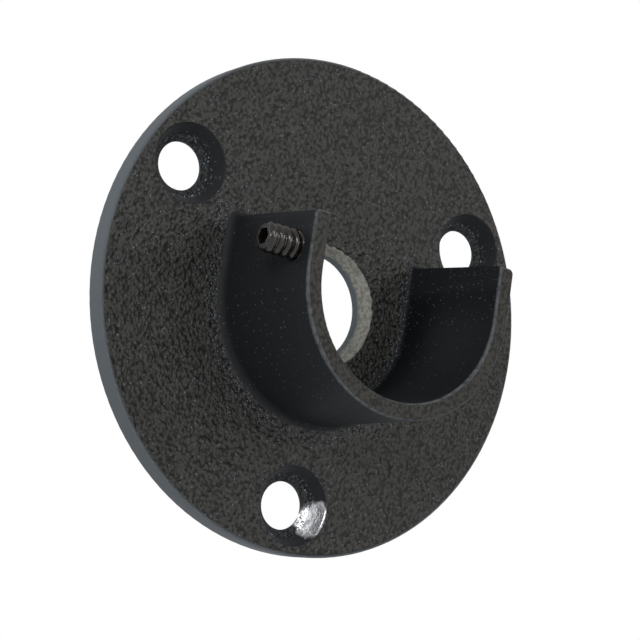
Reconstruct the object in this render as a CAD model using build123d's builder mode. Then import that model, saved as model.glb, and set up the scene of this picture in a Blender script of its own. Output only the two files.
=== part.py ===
"""Open wall flange for a round rail.

One casting carries a round plate and a U-shaped saddle, and a grub screw in one arm holds the rail.
The wall is the plane y = 0. The rail runs along Y and leaves towards -Y. The saddle opens upwards, +Z.
"""
import os
from math import atan2, cos, pi, radians, sin, tan

from build123d import *

os.makedirs("parts", exist_ok=True)

# Plate
plate_diameter = 82.5
plate_thickness = 4.0
plate_front_corner = 0.6
plate_back_corner = 0.3

# Screw holes, set in from the rim: a straight land at the wall, a shallow seat for the head, and a drafted wall
screw_hole_count = 3
screw_hole_inset = 8.05
screw_hole_diameter = 7.9
screw_hole_land = 0.5
head_seat_diameter = 10.3
head_seat_rise = 0.4
screw_hole_mouth_diameter = 12.8

# Centre hole: a straight land at the wall and a drafted wall up to the mouth
centre_hole_diameter = 17.9
centre_hole_land = 1.0
centre_hole_mouth_diameter = 20.2

# Every hole's mouth has its edge broken
mouth_edge_radius = 0.3

# Saddle: half a round tube with two straight arms, lower at the front than at the plate
rail_diameter = 33.4
rail_clearance = 0.2
saddle_wall = 2.8
saddle_length = 24.0
tip_height = 8.6
tip_slope = 4.5
tip_corner_radius = 0.9
front_edge_radius = 0.5
outer_root_radius = 1.8
inner_root_radius = 0.9

# Grub screw: it stands in the tapped hole of the left arm, square to the rail
grub_diameter = 4.8
grub_length = 8.0
grub_clearance = 0.05
grub_set_back = 4.6
grub_height = 3.3
grub_tip_gap = 0.6
grub_end_chamfer = 0.5
grub_point_length = 0.9
cup_diameter = 2.8
cup_depth = 0.6
hex_across_flats = 2.4
hex_depth = 2.8

# Worked out from the sizes above
screw_circle_radius = plate_diameter / 2 - screw_hole_inset
seat_radius = rail_diameter / 2 + rail_clearance
saddle_radius = seat_radius + saddle_wall
saddle_front = plate_thickness + saddle_length
root_tip_height = tip_height + saddle_length * tan(radians(tip_slope))
head_seat_top = screw_hole_land + head_seat_rise
grub_end_x = -(seat_radius + grub_tip_gap + grub_length)
grub_y = grub_set_back - saddle_front

# Planes: the wall's own x and y are the part's X and Z, and it faces -Y, into the room
wall = Plane.XZ
plate_front = wall.offset(plate_thickness)
tips = Plane(
    origin=(0, -saddle_front, tip_height),
    x_dir=(1, 0, 0),
    z_dir=(0, tan(radians(tip_slope)), -1),
)
grub_end = Plane(origin=(grub_end_x, grub_y, grub_height), x_dir=(0, 1, 0), z_dir=(1, 0, 0))
grub_section = Plane(origin=(grub_end_x, grub_y, grub_height), x_dir=(1, 0, 0), z_dir=(0, -1, 0))


def hole_cutter(*profile):
    """Cutter turned about Z from a hole's (radius, height) corners, from the wall up to the mouth.

    It rounds the mouth's edge, and then goes straight up through any root of the saddle in its way.
    """
    (low_radius, low_height), (mouth_radius, mouth_height) = profile[-2:]
    draft = atan2(mouth_radius - low_radius, mouth_height - low_height)
    flare = mouth_edge_radius * tan((pi / 2 - draft) / 2)
    wall_end = (mouth_radius - flare * sin(draft), mouth_height - flare * cos(draft))
    edge_end = (mouth_radius + flare, mouth_height)
    top = mouth_height + outer_root_radius
    with BuildPart() as cutter:
        with BuildSketch(Plane.XZ):
            with BuildLine():
                Polyline((0, 0), *profile[:-1], wall_end)
                TangentArc(wall_end, edge_end, tangent=(sin(draft), cos(draft)))
                Polyline(edge_end, (edge_end[0], top), (0, top), (0, 0))
            make_face()
        revolve(axis=Axis.Z)
    return cutter.part


def reach(edge):
    """Furthest distance of an edge from the mid plane, x = 0."""
    box = edge.bounding_box()
    return max(abs(box.min.X), abs(box.max.X))


def in_seat(edge):
    """True for an edge on the inner side of the saddle's wall."""
    return reach(edge) < seat_radius + saddle_wall / 10


def plate_face(part):
    """Front face of the plate, which the saddle stands on."""
    return part.faces().filter_by(Axis.Y).sort_by(Axis.Y)[-2]


def root(part):
    """Edges where the saddle meets the plate."""
    return plate_face(part).inner_wires()[0].edges()


screw_hole = hole_cutter(
    (screw_hole_diameter / 2, 0),
    (screw_hole_diameter / 2, screw_hole_land),
    (head_seat_diameter / 2, head_seat_top),
    (screw_hole_mouth_diameter / 2, plate_thickness),
)
centre_hole = hole_cutter(
    (centre_hole_diameter / 2, 0),
    (centre_hole_diameter / 2, centre_hole_land),
    (centre_hole_mouth_diameter / 2, plate_thickness),
)

# The casting: plate and saddle in one piece
with BuildPart(wall) as flange:
    # U section, run out from the plate's front, with the tips cut on a slope
    with BuildSketch(plate_front):
        with BuildLine():
            CenterArc((0, 0), saddle_radius, 180, 180)
            Line((saddle_radius, 0), (saddle_radius, root_tip_height))
            Line((saddle_radius, root_tip_height), (seat_radius, root_tip_height))
            Line((seat_radius, root_tip_height), (seat_radius, 0))
            CenterArc((0, 0), seat_radius, 0, -180)
            Line((-seat_radius, 0), (-seat_radius, root_tip_height))
            Line((-seat_radius, root_tip_height), (-saddle_radius, root_tip_height))
            Line((-saddle_radius, root_tip_height), (-saddle_radius, 0))
        make_face()
    extrude(amount=saddle_length)
    split(bisect_by=tips, keep=Keep.TOP)

    # Outer corners of the two tips, then every edge of the front face
    tip_edges = flange.faces().sort_by(Axis.Z)[-2:].edges().filter_by(GeomType.LINE)
    tip_corners = tip_edges.filter_by(lambda edge: abs(edge.center().X) > saddle_radius - saddle_wall / 10)
    fillet(tip_corners, radius=tip_corner_radius)
    fillet(flange.faces().sort_by(Axis.Y)[0].edges(), radius=front_edge_radius)

    # Plate behind the saddle
    with BuildSketch(wall):
        Circle(plate_diameter / 2)
    extrude(amount=plate_thickness)

    # Root of the saddle: a wide fillet outside and round the tips, and a small one in the seat
    fillet([edge for edge in root(flange.part) if not in_seat(edge)], radius=outer_root_radius)
    fillet([edge for edge in root(flange.part) if in_seat(edge)], radius=inner_root_radius)

    # Rim of the plate
    fillet(plate_face(flange.part).outer_wire().edges(), radius=plate_front_corner)
    fillet(flange.faces().sort_by(Axis.Y)[-1].outer_wire().edges(), radius=plate_back_corner)

    # Holes through the plate
    add(centre_hole, mode=Mode.SUBTRACT)
    with PolarLocations(screw_circle_radius, screw_hole_count, start_angle=-90):
        add(screw_hole, mode=Mode.SUBTRACT)

    # Tapped hole for the grub screw, from outside the left arm to the mid plane
    with BuildSketch(grub_end):
        Circle(grub_diameter / 2 + grub_clearance)
    extrude(amount=-grub_end_x, mode=Mode.SUBTRACT)

flange.part.label = "flange"
export_step(flange.part, "parts/flange.step")

# Grub screw, turned about its own axis, with a cup point inside and a hexagon socket outside
with BuildPart() as grub_screw:
    with BuildSketch(grub_section):
        with BuildLine():
            Polyline(
                (0, 0),
                (0, grub_diameter / 2 - grub_end_chamfer),
                (grub_end_chamfer, grub_diameter / 2),
                (grub_length - grub_point_length, grub_diameter / 2),
                (grub_length, cup_diameter / 2),
                (grub_length - cup_depth, 0),
                close=True,
            )
        make_face()
    revolve(axis=Axis(grub_section.origin, (1, 0, 0)))
    with BuildSketch(grub_end):
        RegularPolygon(hex_across_flats / 2, 6, major_radius=False)
    extrude(amount=hex_depth, mode=Mode.SUBTRACT)

grub_screw.part.label = "grub_screw"
export_step(grub_screw.part, "parts/grub_screw.step")
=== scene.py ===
"""Open wall flange for a round rail, with its grub screw.

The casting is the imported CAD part, given its painted, cast skin here. The grub screw is modelled here with
its thread and socket, and replaces the plain one. Lengths are in millimetres where they are marked so, and
in metres elsewhere.
"""
from math import pi, radians

import bpy
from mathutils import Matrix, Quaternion, Vector


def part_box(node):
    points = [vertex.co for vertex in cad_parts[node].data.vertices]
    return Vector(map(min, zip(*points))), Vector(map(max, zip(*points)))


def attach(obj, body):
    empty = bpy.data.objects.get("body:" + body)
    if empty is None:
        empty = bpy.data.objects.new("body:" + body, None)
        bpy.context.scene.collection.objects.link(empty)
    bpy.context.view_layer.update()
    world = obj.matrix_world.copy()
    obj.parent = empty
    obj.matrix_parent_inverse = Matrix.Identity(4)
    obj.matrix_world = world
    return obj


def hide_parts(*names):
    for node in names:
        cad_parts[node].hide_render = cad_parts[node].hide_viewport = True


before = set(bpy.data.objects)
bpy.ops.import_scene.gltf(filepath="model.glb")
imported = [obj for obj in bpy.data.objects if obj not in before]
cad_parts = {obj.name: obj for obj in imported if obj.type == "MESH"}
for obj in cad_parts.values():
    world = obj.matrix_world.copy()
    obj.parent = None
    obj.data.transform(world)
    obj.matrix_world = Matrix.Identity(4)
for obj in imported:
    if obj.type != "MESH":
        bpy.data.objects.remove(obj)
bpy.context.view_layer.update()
bpy.ops.object.select_all(action="DESELECT")


# Camera
# It looks up at the saddle from the left, tilted a little, through a long lens.
camera_place = Vector((-0.1721, -0.2591, -0.0610))
camera_aim = Vector((-0.0001, -0.0040, -0.0024))
camera_roll = radians(8.3)
camera_lens = 107.15

camera_data = bpy.data.cameras.new("camera")
camera_data.lens = camera_lens
camera_data.sensor_width = 36
camera_data.clip_start = 0.01
camera = bpy.data.objects.new("camera", camera_data)
bpy.context.collection.objects.link(camera)
camera.rotation_mode = "QUATERNION"
camera.location = camera_place
camera_turn = (camera_aim - camera_place).to_track_quat("-Z", "Y")
camera.rotation_quaternion = camera_turn @ Quaternion((0, 0, 1), camera_roll)
bpy.context.scene.camera = camera


# Casting
# One piece of cast iron, plate and saddle, under a thin coat of black paint that follows the sand-cast grain.
# The paint is thin in the centre hole and on the saddle's edges, and worn through in the lowest recess; the
# left-facing edges are paler still, as painted highlight.
# Some of its colour is painted light: shade between the lumps, on the saddle's walls and seat and in the
# recesses,
# and highlights on the lump tops, on the rim, on the left-facing edges and as glinting specks.
plate_front = -4.0
plate_radius = 41.25
saddle_front = -28.0
seat_radius = 16.9
saddle_radius = 19.7
screw_circle_radius = 33.2
screw_hole_angles = (-90, 30, 150)
recess_radius = 6.4
head_seat_radius = 5.15
centre_mouth_radius = 10.1
lump_size = 0.47
lump_turn = radians(-35)
fine_lump_size = 0.3
plate_skin_depth = 0.34
saddle_end_skin_depth = 0.09
# Of each pair of coat colours, the paler is painted light on the lump tops and the darker painted shade
# between them
plate_colours = ((0.010, 0.0100, 0.0098), (0.034, 0.0333, 0.0318))
saddle_end_colours = ((0.010, 0.0097, 0.0088), (0.030, 0.0293, 0.0265))
# Walls of the saddle: dark and cool, as painted shade and a painted cool reflection; the seat inside darker
# still, as painted shade
shaded_wall_colours = ((0.0080, 0.0090, 0.0103), (0.0125, 0.0138, 0.0156))
seat_shade_colour = (0.0030, 0.0036, 0.0042)
# Rim: pale and cool, a painted reflection of the bright space behind the part
rim_reflection_colour = (0.105, 0.118, 0.130)
# Screw recesses: darker and bluer than the plate, as painted shade
recess_shade_colour = (0.0135, 0.0155, 0.0175)
# Saddle's front edges: paler where the paint is worn, and as painted highlight where they face left
edge_wear_and_highlight_colour = (0.085, 0.092, 0.100)
centre_coat_colour = (0.108, 0.127, 0.143)
# The thin coat in the centre hole is also paler on the lumps, as painted light
centre_thin_colours = ((0.22, 0.217, 0.196), (0.35, 0.344, 0.312))
bare_metal_colours = ((0.60, 0.61, 0.64), (0.96, 0.97, 1.0))
worn_middle = (5.7, -2.4, -34.9)
worn_reach = 3.7
wall_roughness = 0.60
plate_roughness = 0.26
bare_roughness = 0.25


def put(tree, kind, inputs=None, **settings):
    """Adds a shader node with these settings, and links or sets its inputs."""
    node = tree.nodes.new(kind)
    for name, value in settings.items():
        setattr(node, name, value)
    for name, value in (inputs or {}).items():
        if isinstance(value, bpy.types.NodeSocket):
            tree.links.new(value, node.inputs[name])
        else:
            node.inputs[name].default_value = value
    return node


def calc(tree, operation, a, b=0.0):
    """One sum on two values."""
    return put(tree, "ShaderNodeMath", {0: a, 1: b}, operation=operation).outputs[0]


def vector_calc(tree, operation, a, b=(0.0, 0.0, 0.0)):
    """One sum on two vectors, giving a vector, or a value for a length or a distance."""
    node = put(tree, "ShaderNodeVectorMath", {0: a, 1: b}, operation=operation)
    return node.outputs["Value" if operation in ("LENGTH", "DISTANCE", "DOT_PRODUCT") else "Vector"]


def fade(tree, value, start, end, low=0.0, high=1.0):
    """A soft step from low to high as the value goes from start to end."""
    inputs = {"Value": value, "From Min": start, "From Max": end, "To Min": low, "To Max": high}
    return put(tree, "ShaderNodeMapRange", inputs, interpolation_type="SMOOTHSTEP").outputs["Result"]


def tint(tree, mask, under, over):
    """A colour that goes from one to the other with a mask."""
    node = put(tree, "ShaderNodeMix", {"Factor": mask}, data_type="RGBA")
    for socket, colour in (("A_Color", under), ("B_Color", over)):
        target = next(s for s in node.inputs if s.identifier == socket)
        if isinstance(colour, bpy.types.NodeSocket):
            tree.links.new(colour, target)
        else:
            target.default_value = (*colour, 1)
    return next(s for s in node.outputs if s.identifier == "Result_Color")


def blend_value(tree, mask, under, over):
    """A value that goes from one to the other with a mask."""
    return put(tree, "ShaderNodeMix", {"Factor": mask, 2: under, 3: over}, data_type="FLOAT").outputs[0]


# Sand-cast skin: uneven round lumps that run into each other, with a finer grit on top
cast_skin = bpy.data.node_groups.new("cast_skin", "ShaderNodeTree")
for name, kind, start in (("Position", "NodeSocketVector", None), ("Lump Size", "NodeSocketFloat", 0.5)):
    socket = cast_skin.interface.new_socket(name, in_out="INPUT", socket_type=kind)
    if start is not None:
        socket.default_value = start
cast_skin.interface.new_socket("Height", in_out="OUTPUT", socket_type="NodeSocketFloat")
skin_in = cast_skin.nodes.new("NodeGroupInput")
skin_out = cast_skin.nodes.new("NodeGroupOutput")
skin_scale = calc(cast_skin, "DIVIDE", 1.0, skin_in.outputs["Lump Size"])
skin_place = vector_calc(cast_skin, "SCALE", skin_in.outputs["Position"])
cast_skin.links.new(skin_scale, skin_place.node.inputs["Scale"])
skin_worms = put(cast_skin, "ShaderNodeTexNoise",
                 {"Vector": skin_place, "Scale": 1.0, "Detail": 1.0, "Roughness": 0.5, "Distortion": 0.15})
skin_lumps = put(cast_skin, "ShaderNodeTexVoronoi", {"Vector": skin_place, "Scale": 0.8})
skin_grit = put(cast_skin, "ShaderNodeTexNoise",
                {"Vector": skin_place, "Scale": 3.1, "Detail": 1.0, "Roughness": 0.6})
skin_hollows = calc(cast_skin, "POWER", skin_lumps.outputs["Distance"], 2.0)
skin_height = calc(cast_skin, "SUBTRACT", skin_worms.outputs["Fac"],
                   calc(cast_skin, "MULTIPLY", skin_hollows, 0.75))
skin_height = calc(cast_skin, "ADD", skin_height, calc(cast_skin, "MULTIPLY", skin_grit.outputs["Fac"], 0.12))
cast_skin.links.new(skin_height, skin_out.inputs["Height"])

# Specks: small round dots, scattered by a share from 0 to 1, for chips and dust and for painted glints.
dust_and_glint_specks = bpy.data.node_groups.new("dust_and_glint_specks", "ShaderNodeTree")
for name, kind, start in (("Position", "NodeSocketVector", None), ("Spacing", "NodeSocketFloat", 0.6),
                          ("Share", "NodeSocketFloat", 0.1), ("Size", "NodeSocketFloat", 0.3)):
    socket = dust_and_glint_specks.interface.new_socket(name, in_out="INPUT", socket_type=kind)
    if start is not None:
        socket.default_value = start
dust_and_glint_specks.interface.new_socket("Mask", in_out="OUTPUT", socket_type="NodeSocketFloat")
specks_in = dust_and_glint_specks.nodes.new("NodeGroupInput")
specks_out = dust_and_glint_specks.nodes.new("NodeGroupOutput")
specks_place = vector_calc(dust_and_glint_specks, "SCALE", specks_in.outputs["Position"])
dust_and_glint_specks.links.new(calc(dust_and_glint_specks, "DIVIDE", 1.0, specks_in.outputs["Spacing"]), specks_place.node.inputs["Scale"])
specks_cells = put(dust_and_glint_specks, "ShaderNodeTexVoronoi", {"Vector": specks_place, "Scale": 1.0})
specks_pick = put(dust_and_glint_specks, "ShaderNodeSeparateColor", {"Color": specks_cells.outputs["Color"]})
specks_chosen = calc(dust_and_glint_specks, "LESS_THAN", specks_pick.outputs["Red"], specks_in.outputs["Share"])
specks_radius = calc(dust_and_glint_specks, "MULTIPLY", specks_in.outputs["Size"],
                     calc(dust_and_glint_specks, "ADD", 0.4, specks_pick.outputs["Green"]))
specks_round = calc(dust_and_glint_specks, "LESS_THAN", specks_cells.outputs["Distance"], specks_radius)
dust_and_glint_specks.links.new(calc(dust_and_glint_specks, "MULTIPLY", specks_chosen, specks_round), specks_out.inputs["Mask"])

painted_casting = bpy.data.materials.new("painted_casting")
painted_casting.use_nodes = True
paint = painted_casting.node_tree
paint.nodes.clear()

# Where a point lies on the casting, in millimetres
to_millimetres = (1000, 1000, 1000)
paint_coordinates = put(paint, "ShaderNodeTexCoord")
paint_place = put(paint, "ShaderNodeMapping",
                  {"Vector": paint_coordinates.outputs["Object"], "Scale": to_millimetres}).outputs["Vector"]
paint_axes = put(paint, "ShaderNodeSeparateXYZ", {"Vector": paint_place})
along_rail = paint_axes.outputs["Y"]
on_wall = vector_calc(paint, "MULTIPLY", paint_place, (1.0, 0.0, 1.0))
from_centre = vector_calc(paint, "LENGTH", on_wall)
from_screws = None
for angle in screw_hole_angles:
    middle = Vector((screw_circle_radius, 0, 0))
    middle.rotate(Quaternion((0, 1, 0), -radians(angle)))
    distance = vector_calc(paint, "DISTANCE", on_wall, tuple(middle))
    from_screws = distance if from_screws is None else calc(paint, "MINIMUM", from_screws, distance)
paint_normal = put(paint, "ShaderNodeSeparateXYZ", {"Vector": paint_coordinates.outputs["Normal"]})
faces_front = fade(paint, paint_normal.outputs["Y"], -0.75, -0.97)
uneven = put(paint, "ShaderNodeTexNoise",
             {"Vector": paint_place, "Scale": 0.9, "Detail": 4.0, "Roughness": 0.6})
uneven_shift = calc(paint, "SUBTRACT", uneven.outputs["Fac"], 0.5)

# Its parts, as masks
is_plate = fade(paint, along_rail, plate_front - 1.9, plate_front - 0.1)
is_rim = fade(paint, from_centre, plate_radius - 0.55, plate_radius - 0.1)
is_recess = calc(paint, "MULTIPLY", is_plate,
                 fade(paint, from_screws, recess_radius + 0.3, recess_radius - 0.05))
centre_edge = calc(paint, "ADD", from_centre, calc(paint, "MULTIPLY", uneven_shift, 0.9))
is_centre = calc(paint, "MULTIPLY", is_plate,
                 fade(paint, centre_edge, centre_mouth_radius + 0.15, centre_mouth_radius + 0.0))
plate_skin = calc(paint, "MULTIPLY", is_plate, faces_front)
saddle_end = calc(paint, "MULTIPLY", calc(paint, "SUBTRACT", 1.0, is_plate), faces_front)

# Height of the skin, in millimetres: coarse on the plate, finer on the saddle's end, faint on the walls
grain_place = put(paint, "ShaderNodeMapping",
                  {"Vector": paint_place, "Rotation": (0, lump_turn, 0), "Scale": (1.0, 1.0, 0.85)})
coarse = put(paint, "ShaderNodeGroup", {}, node_tree=cast_skin)
paint.links.new(grain_place.outputs["Vector"], coarse.inputs["Position"])
coarse.inputs["Lump Size"].default_value = lump_size
fine = put(paint, "ShaderNodeGroup", {}, node_tree=cast_skin)
paint.links.new(paint_place, fine.inputs["Position"])
fine.inputs["Lump Size"].default_value = fine_lump_size
skin_depth = blend_value(paint, plate_skin, 0.0, plate_skin_depth)
skin_depth = blend_value(paint, saddle_end, skin_depth, saddle_end_skin_depth)
fine_depth = blend_value(paint, plate_skin, 0.02, 0.03)
heights = calc(paint, "ADD", calc(paint, "MULTIPLY", coarse.outputs["Height"], skin_depth),
               calc(paint, "MULTIPLY", fine.outputs["Height"], fine_depth))
paint_bump = put(paint, "ShaderNodeBump", {"Height": heights, "Distance": 0.001, "Strength": 1.0})

# Colour of the coat: paler on its lumps than between them, as painted light and shade on the grain, and
# darker and bluer on the saddle's walls and seat, as painted shade and a painted cool reflection
lump_light_and_shade = fade(paint, coarse.outputs["Height"], 0.12, 0.50)
plate_colour = tint(paint, lump_light_and_shade, *plate_colours)
end_colour = tint(paint, lump_light_and_shade, *saddle_end_colours)
shaded_wall_colour = tint(paint, uneven.outputs["Fac"], *shaded_wall_colours)
# The seat inside the saddle is made darkest, as painted shade
is_seat = calc(paint, "MULTIPLY", fade(paint, from_centre, seat_radius + 1.2, seat_radius + 0.4),
               calc(paint, "SUBTRACT", 1.0, is_plate))
shaded_wall_colour = tint(paint, is_seat, shaded_wall_colour, seat_shade_colour)
coat_colour = tint(paint, plate_skin, shaded_wall_colour, plate_colour)
coat_colour = tint(paint, saddle_end, coat_colour, end_colour)
# The rim takes its painted reflection
coat_colour = tint(paint, is_rim, coat_colour, rim_reflection_colour)
# The screw recesses take their painted shade
coat_colour = tint(paint, is_recess, coat_colour, recess_shade_colour)

# Specks, partly dust and chips and partly painted glints: a few all over, and many along the root of the
# saddle and round the seats of the screws
below_tips = fade(paint, paint_axes.outputs["Z"], 13.5, 11.5)
near_plate = fade(paint, along_rail, plate_front - 1.8, plate_front - 0.9)
from_outline = vector_calc(paint, "LENGTH", vector_calc(paint, "MINIMUM", on_wall, (1000.0, 0.0, 0.0)))
outer_root = calc(paint, "MULTIPLY",
                  fade(paint, from_outline, saddle_radius + 0.7, saddle_radius + 1.3),
                  fade(paint, from_outline, saddle_radius + 4.2, saddle_radius + 1.8))
inner_root = calc(paint, "MULTIPLY",
                  fade(paint, from_outline, seat_radius - 2.4, seat_radius - 1.2),
                  fade(paint, from_outline, seat_radius + 0.2, seat_radius - 0.3))
root_band = calc(paint, "MULTIPLY", calc(paint, "MAXIMUM", outer_root, inner_root), below_tips)
root_band = calc(paint, "MULTIPLY", root_band, near_plate)
seat_ring = calc(paint, "MULTIPLY",
                 fade(paint, from_screws, head_seat_radius - 0.5, head_seat_radius - 0.1),
                 fade(paint, from_screws, head_seat_radius + 0.5, head_seat_radius + 0.1))
seat_band = calc(paint, "MULTIPLY", is_recess, seat_ring)
for spacing, share, size, where, colour in (
        (0.36, blend_value(paint, is_plate, 0.12, 0.09), 0.22, 1.0, (0.12, 0.14, 0.165)),
        (0.32, 0.55, 0.30, root_band, (0.15, 0.170, 0.205)),
        (0.30, 0.55, 0.30, seat_band, (0.25, 0.27, 0.29))):
    scatter = put(paint, "ShaderNodeGroup", {}, node_tree=dust_and_glint_specks)
    for name, value in (("Position", paint_place), ("Spacing", spacing), ("Share", share), ("Size", size)):
        if isinstance(value, bpy.types.NodeSocket):
            paint.links.new(value, scatter.inputs[name])
        else:
            scatter.inputs[name].default_value = value
    coat_colour = tint(paint, calc(paint, "MULTIPLY", scatter.outputs["Mask"], where), coat_colour, colour)

# Wear: along the saddle's front edges, with a painted highlight on those that face left, in the centre hole,
# and to bright metal in the lowest screw recess
on_edge = calc(paint, "MULTIPLY", fade(paint, along_rail, saddle_front + 0.6, saddle_front + 0.2),
               fade(paint, paint_normal.outputs["Y"], -0.98, -0.90))
edge_wear_and_highlight = calc(paint, "MULTIPLY", on_edge, fade(paint, uneven.outputs["Fac"], 0.30, 0.60, 0.25, 0.9))
# Stronger on the edges that face left, towards the lamps, as painted highlight
edge_wear_and_highlight = calc(paint, "MULTIPLY", edge_wear_and_highlight, fade(paint, paint_normal.outputs["X"], 0.3, -0.3, 0.30, 1.0))
coat_colour = tint(paint, edge_wear_and_highlight, coat_colour, edge_wear_and_highlight_colour)
centre_patches = calc(paint, "ADD", along_rail, calc(paint, "MULTIPLY", uneven_shift, 1.2))
centre_thin = tint(paint, lump_light_and_shade, *centre_thin_colours)
centre_colour = tint(paint, fade(paint, centre_patches, -1.1, -1.9), centre_coat_colour, centre_thin)
coat_colour = tint(paint, is_centre, coat_colour, centre_colour)
from_worn = calc(paint, "ADD", vector_calc(paint, "DISTANCE", paint_place, worn_middle),
                 calc(paint, "MULTIPLY", uneven_shift, 2.4))
streak_place = put(paint, "ShaderNodeMapping",
                   {"Vector": paint_place, "Rotation": (0, radians(38), 0), "Scale": (2.6, 1.2, 0.5)})
streaks = put(paint, "ShaderNodeTexNoise",
              {"Vector": streak_place.outputs["Vector"], "Scale": 1.1, "Detail": 3.0, "Roughness": 0.6})
worn_area = calc(paint, "MULTIPLY", is_recess, fade(paint, from_worn, worn_reach, worn_reach - 1.5))
bare = calc(paint, "MULTIPLY", worn_area, fade(paint, streaks.outputs["Fac"], 0.30, 0.42))
bare_colour = tint(paint, fade(paint, streaks.outputs["Fac"], 0.44, 0.58), *bare_metal_colours)
coat_colour = tint(paint, bare, coat_colour, bare_colour)
coat_roughness = blend_value(paint, plate_skin, wall_roughness, plate_roughness)
coat_roughness = blend_value(paint, bare, coat_roughness, bare_roughness)

paint_shader = put(paint, "ShaderNodeBsdfPrincipled",
                   {"Base Color": coat_colour, "Metallic": bare, "Roughness": coat_roughness,
                    "Normal": paint_bump.outputs["Normal"], "IOR": 1.5, "Specular IOR Level": 0.13})
put(paint, "ShaderNodeOutputMaterial", {"Surface": paint_shader.outputs["BSDF"]})

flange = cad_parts["flange"]
flange.data.materials.clear()
flange.data.materials.append(painted_casting)


# Grub screw
# A black-oxide steel screw with a coarse thread, a hexagon socket outside and a cup point towards the rail.
# It is turned and threaded whole, so it is one piece.
screw_low, screw_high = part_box("grub_screw")
screw_radius = (screw_high.z - screw_low.z) / 2 * 1000
screw_length = (screw_high.x - screw_low.x) * 1000
screw_axis = (screw_low + screw_high) / 2
thread_pitch = 1.4
thread_depth = 0.42
thread_turns = 8
thread_steps = 64
end_chamfer = 0.5
point_length = 0.9
cup_radius = 1.4
cup_depth = 0.6
hex_across_flats = 2.4
hex_depth = 2.8
merge_distance = 0.0005
oxide_colours = ((0.003, 0.0025, 0.0022), (0.012, 0.0092, 0.0074))


def draw_outline(name, points):
    """A line of edges through these points, each extruded from the one before."""
    bpy.ops.mesh.primitive_plane_add(size=1, location=(0, 0, 0))
    outline = bpy.context.object
    outline.name = name
    bpy.ops.object.mode_set(mode="EDIT")
    bpy.ops.mesh.select_mode(type="VERT")
    bpy.ops.mesh.merge(type="CENTER")
    bpy.ops.transform.translate(value=points[0])
    for start, end in zip(points, points[1:]):
        bpy.ops.mesh.extrude_region_move(TRANSFORM_OT_translate={"value": Vector(end) - Vector(start)})
    bpy.ops.object.mode_set(mode="OBJECT")
    return outline


def apply_all(piece):
    """Applies the modifiers of a piece in their order."""
    bpy.context.view_layer.objects.active = piece
    for modifier in list(piece.modifiers):
        bpy.ops.object.modifier_apply(modifier=modifier.name)


# Thread: the outline of all its crests, along X, turned once about X while it moves on by one pitch
crest = screw_radius
valley = screw_radius - thread_depth
flank = valley + thread_depth * 0.5
below_crest = crest - 0.04
thread_profile = ((0.16, valley), (0.27, flank), (0.40, below_crest), (0.47, crest),
                  (0.69, crest), (0.76, below_crest), (0.89, flank), (1.0, valley))
thread_start = -thread_pitch * 1.5
outline = [(thread_start, 0, 0), (thread_start, valley, 0)]
for turn in range(thread_turns):
    x = thread_start + turn * thread_pitch
    outline += [(x + thread_pitch * share, radius, 0) for share, radius in thread_profile]
outline.append((outline[-1][0], 0, 0))
grub_screw = draw_outline("grub_screw_threaded", outline)
turning = grub_screw.modifiers.new("thread", "SCREW")
turning.axis = "X"
turning.angle = 2 * pi
turning.screw_offset = thread_pitch
turning.steps = turning.render_steps = thread_steps
turning.use_merge_vertices = True
turning.merge_threshold = merge_distance
apply_all(grub_screw)
bpy.ops.object.mode_set(mode="EDIT")
bpy.ops.mesh.select_all(action="SELECT")
bpy.ops.mesh.remove_doubles(threshold=merge_distance)
bpy.ops.mesh.select_all(action="DESELECT")
bpy.ops.mesh.select_mode(type="EDGE")
bpy.ops.mesh.select_non_manifold()
bpy.ops.mesh.fill()
bpy.ops.mesh.select_all(action="SELECT")
bpy.ops.mesh.normals_make_consistent(inside=False)
bpy.ops.object.mode_set(mode="OBJECT")

# Blank: the turned bar with its chamfer, point and cup, which the thread is cut to
blank = draw_outline("blank", [
    (0, 0, 0),
    (0, screw_radius - end_chamfer, 0),
    (end_chamfer, screw_radius + 0.001, 0),
    (screw_length - point_length, screw_radius + 0.001, 0),
    (screw_length, cup_radius, 0),
    (screw_length - cup_depth, 0, 0),
])
turning = blank.modifiers.new("turned", "SCREW")
turning.axis = "X"
turning.angle = 2 * pi
turning.steps = turning.render_steps = thread_steps
turning.use_merge_vertices = True
turning.merge_threshold = merge_distance
apply_all(blank)
bpy.ops.object.mode_set(mode="EDIT")
bpy.ops.mesh.select_all(action="SELECT")
bpy.ops.mesh.remove_doubles(threshold=merge_distance)
bpy.ops.mesh.normals_make_consistent(inside=False)
bpy.ops.object.mode_set(mode="OBJECT")

# Socket: a hexagonal punch, cut from the outer end
bpy.ops.mesh.primitive_cylinder_add(vertices=6, radius=hex_across_flats / 2 / (3 ** 0.5 / 2),
                                    depth=2 * hex_depth, location=(0, 0, 0), rotation=(0, pi / 2, 0))
socket_punch = bpy.context.object
bpy.ops.object.transform_apply(location=True, rotation=True, scale=True)

for tool, operation in ((blank, "INTERSECT"), (socket_punch, "DIFFERENCE")):
    cut = grub_screw.modifiers.new("cut", "BOOLEAN")
    cut.operation = operation
    cut.object = tool
    cut.solver = "EXACT"
    apply_all(grub_screw)
    bpy.data.objects.remove(tool)

# To its place in the arm, in metres
bpy.ops.object.select_all(action="DESELECT")
grub_screw.select_set(True)
bpy.context.view_layer.objects.active = grub_screw
grub_screw.scale = (0.001, 0.001, 0.001)
grub_screw.location = (screw_low.x, screw_axis.y, screw_axis.z)
bpy.ops.object.transform_apply(location=True, rotation=True, scale=True)
bpy.ops.object.shade_smooth_by_angle(angle=radians(32))

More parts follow.
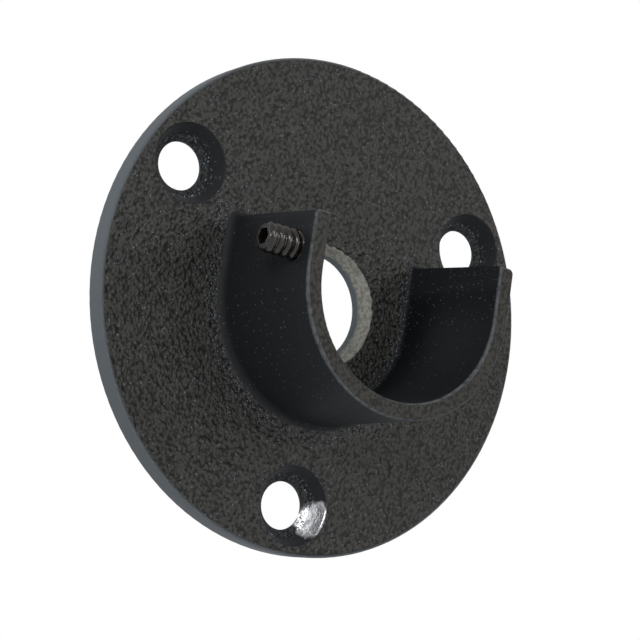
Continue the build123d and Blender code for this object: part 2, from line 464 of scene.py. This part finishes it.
black_oxide = bpy.data.materials.new("black_oxide_steel")
black_oxide.use_nodes = True
oxide = black_oxide.node_tree
oxide.nodes.clear()
oxide_coordinates = put(oxide, "ShaderNodeTexCoord")
oxide_place = put(oxide, "ShaderNodeMapping",
                  {"Vector": oxide_coordinates.outputs["Object"], "Scale": to_millimetres}).outputs["Vector"]
oxide_cloud = put(oxide, "ShaderNodeTexNoise",
                  {"Vector": oxide_place, "Scale": 1.6, "Detail": 4.0, "Roughness": 0.6})
oxide_skin = put(oxide, "ShaderNodeGroup", {}, node_tree=cast_skin)
oxide.links.new(oxide_place, oxide_skin.inputs["Position"])
oxide_skin.inputs["Lump Size"].default_value = 0.25
oxide_bump = put(oxide, "ShaderNodeBump",
                 {"Height": calc(oxide, "MULTIPLY", oxide_skin.outputs["Height"], 0.02), "Distance": 0.001})
oxide_colour = tint(oxide, oxide_cloud.outputs["Fac"], *oxide_colours)
oxide_shader = put(oxide, "ShaderNodeBsdfPrincipled",
                   {"Base Color": oxide_colour, "Metallic": 0.0, "Roughness": 0.18,
                    "Specular IOR Level": 0.35, "Normal": oxide_bump.outputs["Normal"]})
put(oxide, "ShaderNodeOutputMaterial", {"Surface": oxide_shader.outputs["BSDF"]})
grub_screw.data.materials.clear()
grub_screw.data.materials.append(black_oxide)
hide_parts("grub_screw")
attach(grub_screw, "grub_screw")


# Floor and background
# A plain white floor lies below the part, and the world is white behind it and in its reflections.
floor_height = -0.15
floor_size = 6.0
floor_glow = 0.75
sky_fill = 0.25
bpy.ops.mesh.primitive_plane_add(size=floor_size, location=(0, 0, floor_height))
floor = bpy.context.object
floor.name = "floor"
bpy.ops.object.transform_apply(location=True, rotation=True, scale=True)
floor_white = bpy.data.materials.new("floor_white")
floor_white.use_nodes = True
floor_tree = floor_white.node_tree
floor_tree.nodes.clear()
floor_light = put(floor_tree, "ShaderNodeLightPath")
floor_seen = calc(floor_tree, "MAXIMUM", floor_light.outputs["Is Camera Ray"],
                  calc(floor_tree, "MAXIMUM", floor_light.outputs["Is Glossy Ray"],
                       floor_light.outputs["Is Transmission Ray"]))
floor_shader = put(floor_tree, "ShaderNodeBsdfPrincipled",
                   {"Base Color": (0.8, 0.8, 0.8, 1), "Roughness": 0.9, "Specular IOR Level": 0.0,
                    "Emission Color": (1, 1, 1, 1),
                    "Emission Strength": calc(floor_tree, "MULTIPLY", floor_seen, floor_glow)})
put(floor_tree, "ShaderNodeOutputMaterial", {"Surface": floor_shader.outputs["BSDF"]})
floor.data.materials.append(floor_white)

world = bpy.data.worlds.new("studio")
bpy.context.scene.world = world
world.use_nodes = True
sky = world.node_tree
sky.nodes.clear()
sky_light = put(sky, "ShaderNodeLightPath")
sky_seen = calc(sky, "MAXIMUM", sky_light.outputs["Is Camera Ray"],
                calc(sky, "MAXIMUM", sky_light.outputs["Is Glossy Ray"],
                     sky_light.outputs["Is Transmission Ray"]))
sky_strength = blend_value(sky, sky_seen, sky_fill, 1.0)
sky_shader = put(sky, "ShaderNodeBackground", {"Color": (1, 1, 1, 1), "Strength": sky_strength})
put(sky, "ShaderNodeOutputWorld", {"Surface": sky_shader.outputs["Background"]})


# Lamps
# Soft boxes: two to the left, of which the smaller stands near, two to the right, one in front and one above.
# A large cool one behind lights the rim.
lamps = (
    ("near_left_box", (-0.20, -0.17, 0.07), 0.06, 0.16, (0.97, 0.99, 1.0)),
    ("left_box", (-0.50, -0.46, 0.14), 0.18, 0.8, (0.96, 0.98, 1.0)),
    ("right_box", (0.24, -0.78, 0.12), 0.14, 1.3, (1.0, 0.99, 0.97)),
    ("far_right_box", (0.54, -0.66, 0.30), 0.14, 1.2, (1.0, 0.99, 0.97)),
    ("front_box", (-0.05, -0.84, -0.03), 0.30, 1.7, (1.0, 0.98, 0.94)),
    ("high_box", (-0.05, -0.64, 0.56), 0.45, 0.5, (1.0, 0.99, 0.96)),
    ("rim_box", (-0.50, 0.70, 0.20), 0.50, 1.3, (0.90, 0.96, 1.0)),
)
for name, place, size, power, colour in lamps:
    lamp_data = bpy.data.lights.new(name, "AREA")
    lamp_data.size = size
    lamp_data.energy = power
    lamp_data.color = colour
    lamp = bpy.data.objects.new(name, lamp_data)
    bpy.context.collection.objects.link(lamp)
    lamp.location = place
    lamp.rotation_mode = "QUATERNION"
    lamp.rotation_quaternion = (-Vector(place)).to_track_quat("-Z", "Y")
    lamp.visible_camera = False

bpy.context.scene.view_settings.view_transform = "Standard"
